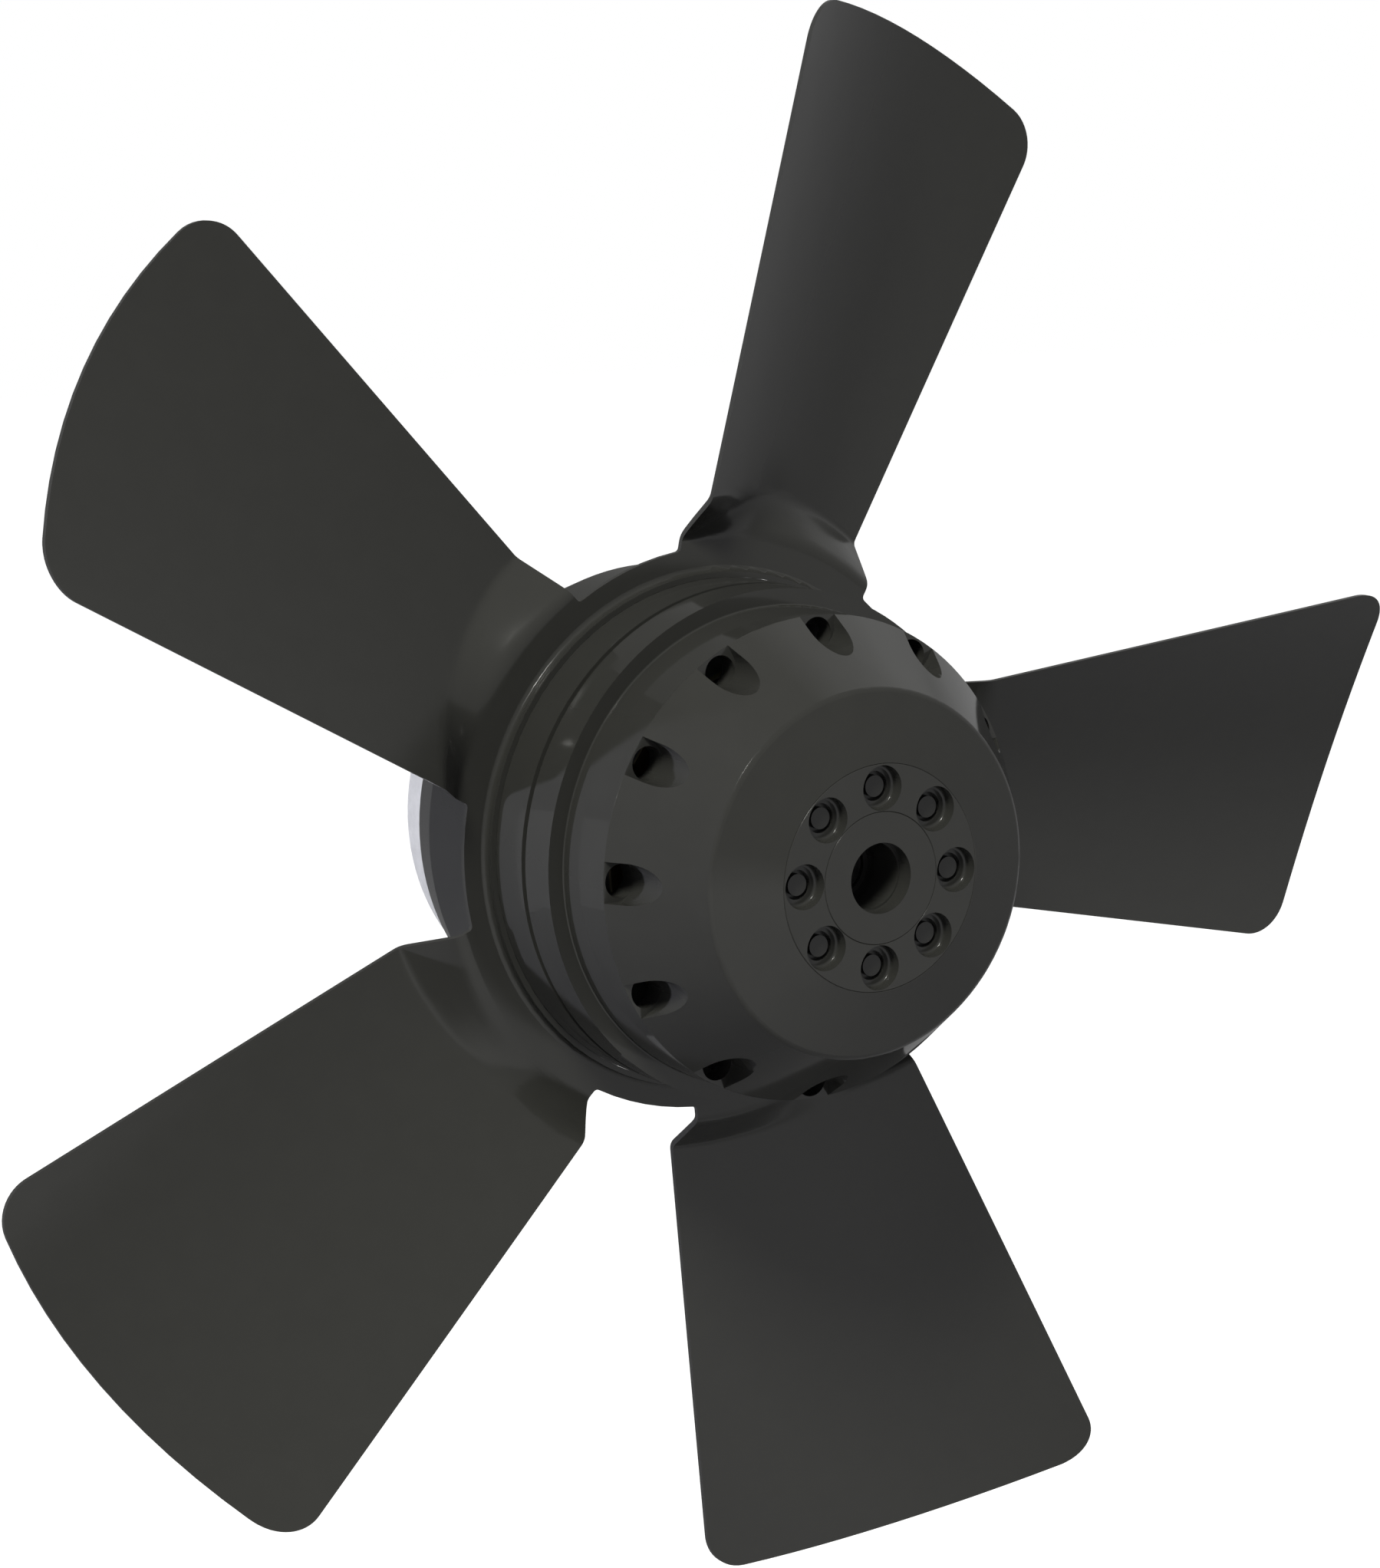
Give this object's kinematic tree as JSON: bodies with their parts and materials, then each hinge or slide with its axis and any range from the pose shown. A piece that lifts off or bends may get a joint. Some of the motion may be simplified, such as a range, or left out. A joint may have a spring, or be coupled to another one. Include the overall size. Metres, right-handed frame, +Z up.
{
  "type": "axial fan impeller with external-rotor motor",
  "caption": "Black pressed-steel axial impeller with cambered blades fixed round the rotor of an external-rotor motor, which is held by a bright cast flange.",
  "frame": {"origin": "centre of the motor flange's mounting face", "axes": "+Z up, the shaft along Y, the nose towards -Y"},
  "size_m": [0.2869, 0.0987, 0.2968],
  "materials": {
    "flange_casting": "bright cast, lightly blasted",
    "grommet_rubber": "matt",
    "cap_steel": "zinc plated",
    "stator_laminations": "electrical sheet, stacked",
    "insulation": "natural",
    "copper_wire": "enamelled, varnished",
    "cutout_case": "moulded",
    "spring_steel": "ground",
    "bearing_steel": "ground",
    "rotor_paint": "satin black paint on a casting",
    "impeller_paint": "satin black paint on pressed steel",
    "hub_paint": "satin black paint on steel",
    "rivet_steel": "satin black paint on steel",
    "shaft_steel": "ground",
    "rotor_laminations": "electrical sheet, stacked",
    "cage_casting": "cast",
    "cage_brass": "pressed"
  },
  "bodies": {
    "stator": {"stator_flange": "flange_casting", "cable_grommet": "grommet_rubber", "bearing_cap": "cap_steel", "stator_stack": "stator_laminations", "rear_insulator": "insulation", "front_insulator": "insulation", "winding": "copper_wire", "thermal_cutout": "cutout_case", "wave_washer": "spring_steel", "rear_outer_race": "bearing_steel", "front_outer_race": "bearing_steel"},
    "rotor": {"rear_inner_race": "bearing_steel", "front_inner_race": "bearing_steel", "rear_cage": "cage_brass", "front_cage": "cage_brass", "rear_balls": "bearing_steel", "front_balls": "bearing_steel", "rotor_bell": "rotor_paint", "impeller": "impeller_paint", "hub_flange": "hub_paint", "hub_bush": "hub_paint", "hub_rivets": "rivet_steel", "shaft": "shaft_steel", "shaft_clip": "spring_steel", "rotor_core": "rotor_laminations", "squirrel_cage": "cage_casting"}
  },
  "joints": [
    {"name": "rotor_spin", "type": "hinge", "parent": "stator", "child": "rotor", "pos_m": [0, -0.05, 0], "axis": [0, -1, 0], "continuous": true}
  ]
}
